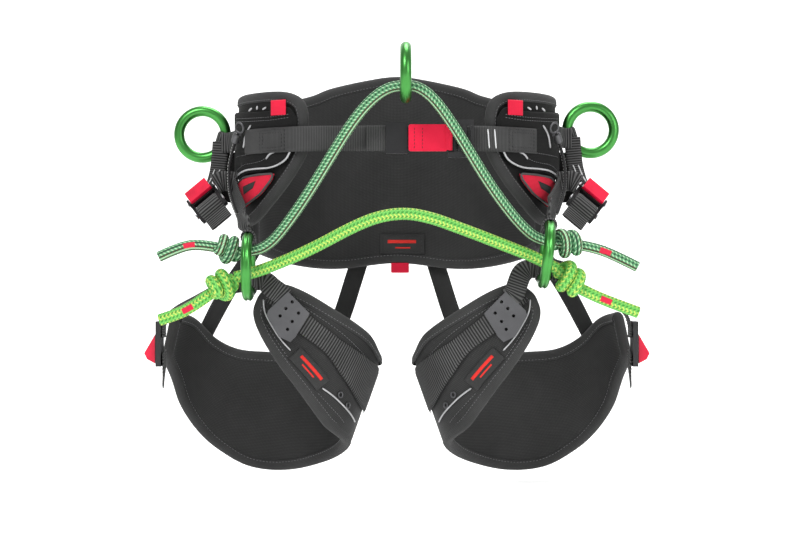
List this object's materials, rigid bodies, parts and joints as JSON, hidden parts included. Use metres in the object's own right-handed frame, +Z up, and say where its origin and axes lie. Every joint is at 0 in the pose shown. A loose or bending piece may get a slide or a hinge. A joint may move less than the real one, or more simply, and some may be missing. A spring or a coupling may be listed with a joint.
{
  "type": "tree-climbing harness",
  "caption": "Work-positioning climbing harness: padded waist belt, padded leg loops, two rope bridges tied to rings, webbing and adjusters.",
  "frame": {"origin": "centre of the waist opening, where the wearer's waist goes", "axes": "+Z up the body, +X towards the wearer's left, +Y to the wearer's back"},
  "size_m": [0.493, 0.3085, 0.4168],
  "materials": {
    "padding": "foam pad lined with smooth knitted fabric, matt",
    "panel": "laminated ballistic fabric, slight sheen",
    "webbing": "ribbed polyester webbing, dark grey",
    "elastic": "plain woven elastic, matt",
    "red_fabric": "red woven fabric and tape",
    "red_plastic": "red moulded plastic",
    "black_plastic": "black moulded plastic",
    "coated_steel": "dark coated metal, satin",
    "anodised": "green anodised, glossy",
    "dark_rope": "braided rope, dark green with pale flecks",
    "bright_rope": "braided rope, bright green with yellow flecks",
    "cord": "thin braided cord, black with white flecks",
    "label": "woven label, black with a plain red mark"
  },
  "bodies": {
    "root": {"back_pad": "padding", "left_accessory_cord": "cord", "left_adjuster_frame": "coated_steel", "left_adjuster_strap": "webbing", "left_hip_insert": "red_fabric", "left_hip_pad": "padding", "left_hip_panel": "panel", "left_hip_tab": "red_fabric", "left_leg_elastics": "elastic", "left_lower_knot": "bright_rope", "left_ring_webbing": "webbing", "left_side_strap": "webbing", "left_upper_knot": "dark_rope", "lower_bridge_rope": "bright_rope", "rear_gear_loop": "red_fabric", "rear_label_patch": "label", "right_accessory_cord": "cord", "right_adjuster_frame": "coated_steel", "right_adjuster_strap": "webbing", "right_hip_insert": "red_fabric", "right_hip_pad": "padding", "right_hip_panel": "panel", "right_hip_tab": "red_fabric", "right_leg_elastics": "elastic", "right_lower_knot": "bright_rope", "right_ring_webbing": "webbing", "right_side_strap": "webbing", "right_upper_knot": "dark_rope", "upper_bridge_rope": "dark_rope", "waist_buckle_frame": "coated_steel", "waist_strap_left": "webbing", "waist_strap_right": "webbing", "waist_strap_tail": "webbing"},
    "centre_ring": {"centre_ring": "anodised"},
    "strap_keeper": {"strap_keeper": "black_plastic"},
    "waist_buckle_tab": {"waist_buckle_tab": "red_plastic"},
    "left_side_ring": {"left_side_ring": "anodised"},
    "left_bridge_ring": {"left_bridge_ring": "anodised"},
    "left_adjuster_lever": {"left_adjuster_lever": "red_plastic"},
    "left_cord_lock": {"left_cord_lock": "black_plastic"},
    "left_leg_loop": {"left_leg_pad": "padding", "left_leg_webbing": "webbing", "left_leg_plate": "black_plastic", "left_leg_label": "label", "left_leg_buckle": "coated_steel", "left_leg_outer_strap": "webbing"},
    "left_leg_lever": {"left_leg_lever": "red_plastic"},
    "right_side_ring": {"right_side_ring": "anodised"},
    "right_bridge_ring": {"right_bridge_ring": "anodised"},
    "right_adjuster_lever": {"right_adjuster_lever": "red_plastic"},
    "right_cord_lock": {"right_cord_lock": "black_plastic"},
    "right_leg_loop": {"right_leg_pad": "padding", "right_leg_webbing": "webbing", "right_leg_plate": "black_plastic", "right_leg_label": "label", "right_leg_buckle": "coated_steel", "right_leg_outer_strap": "webbing"},
    "right_leg_lever": {"right_leg_lever": "red_plastic"}
  },
  "joints": [
    {"name": "centre_ring_tilt", "type": "hinge", "parent": "root", "child": "centre_ring", "pos_m": [0.0083, -0.157, 0.0707], "axis": [1, 0, 0], "range_deg": [-105, 105]},
    {"name": "keeper_slide", "type": "slide", "parent": "root", "child": "strap_keeper", "axis": [1, 0, 0], "range_m": [-0.016, 0]},
    {"name": "waist_buckle_tab_lift", "type": "hinge", "parent": "root", "child": "waist_buckle_tab", "pos_m": [0.0502, -0.129, 0.024], "axis": [0, 0, 1], "range_deg": [0, 40], "stiffness_Nm_per_rad": 0.02, "springref_deg": -5.73},
    {"name": "left_side_ring_swing", "type": "hinge", "parent": "root", "child": "left_side_ring", "pos_m": [-0.17227, 0, 0.0287], "axis": [0.2924, 0, 0.9563], "range_deg": [-70, 32]},
    {"name": "left_bridge_ring_spin", "type": "hinge", "parent": "root", "child": "left_bridge_ring", "pos_m": [-0.1402, -0.114, -0.0965], "axis": [1, 0, 0], "continuous": true},
    {"name": "left_leg_loop_swing", "type": "hinge", "parent": "root", "child": "left_leg_loop", "pos_m": [-0.1402, -0.114, -0.0965], "axis": [1, 0, 0], "range_deg": [-15, 20], "stiffness_Nm_per_rad": 3, "springref_deg": 4.58, "deforming": ["left_leg_elastics"]},
    {"name": "left_adjuster_lever_lift", "type": "hinge", "parent": "root", "child": "left_adjuster_lever", "pos_m": [-0.19117, -0.04979, -0.02618], "axis": [0.769, 0, 0.6392], "range_deg": [0, 60], "stiffness_Nm_per_rad": 0.02},
    {"name": "left_cord_lock_slide", "type": "slide", "parent": "root", "child": "left_cord_lock", "axis": [0.3149, -0.4949, 0.8099], "range_m": [-0.001, 0.0008]},
    {"name": "left_leg_lever_lift", "type": "hinge", "parent": "left_leg_loop", "child": "left_leg_lever", "pos_m": [-0.2375, -0.04, -0.1895], "axis": [0, 1, 0], "range_deg": [-70, 0], "stiffness_Nm_per_rad": 0.02},
    {"name": "right_side_ring_swing", "type": "hinge", "parent": "root", "child": "right_side_ring", "pos_m": [0.17127, 0, 0.0332], "axis": [-0.2924, 0, 0.9563], "range_deg": [-32, 70]},
    {"name": "right_bridge_ring_spin", "type": "hinge", "parent": "root", "child": "right_bridge_ring", "pos_m": [0.141, -0.114, -0.085], "axis": [0.9934, 0, -0.1149], "continuous": true},
    {"name": "right_leg_loop_swing", "type": "hinge", "parent": "root", "child": "right_leg_loop", "pos_m": [0.141, -0.114, -0.085], "axis": [0.9934, 0, -0.1149], "range_deg": [-15, 20], "stiffness_Nm_per_rad": 3, "springref_deg": 4.58, "deforming": ["right_leg_elastics"]},
    {"name": "right_adjuster_lever_lift", "type": "hinge", "parent": "root", "child": "right_adjuster_lever", "pos_m": [0.19117, -0.04979, -0.02618], "axis": [-0.769, 0, 0.6392], "range_deg": [-60, 0], "stiffness_Nm_per_rad": 0.02},
    {"name": "right_cord_lock_slide", "type": "slide", "parent": "root", "child": "right_cord_lock", "axis": [-0.3149, -0.4949, 0.8099], "range_m": [-0.001, 0.0008]},
    {"name": "right_leg_lever_lift", "type": "hinge", "parent": "right_leg_loop", "child": "right_leg_lever", "pos_m": [0.2375, -0.04, -0.1895], "axis": [0, 1, 0], "range_deg": [0, 70], "stiffness_Nm_per_rad": 0.02}
  ]
}
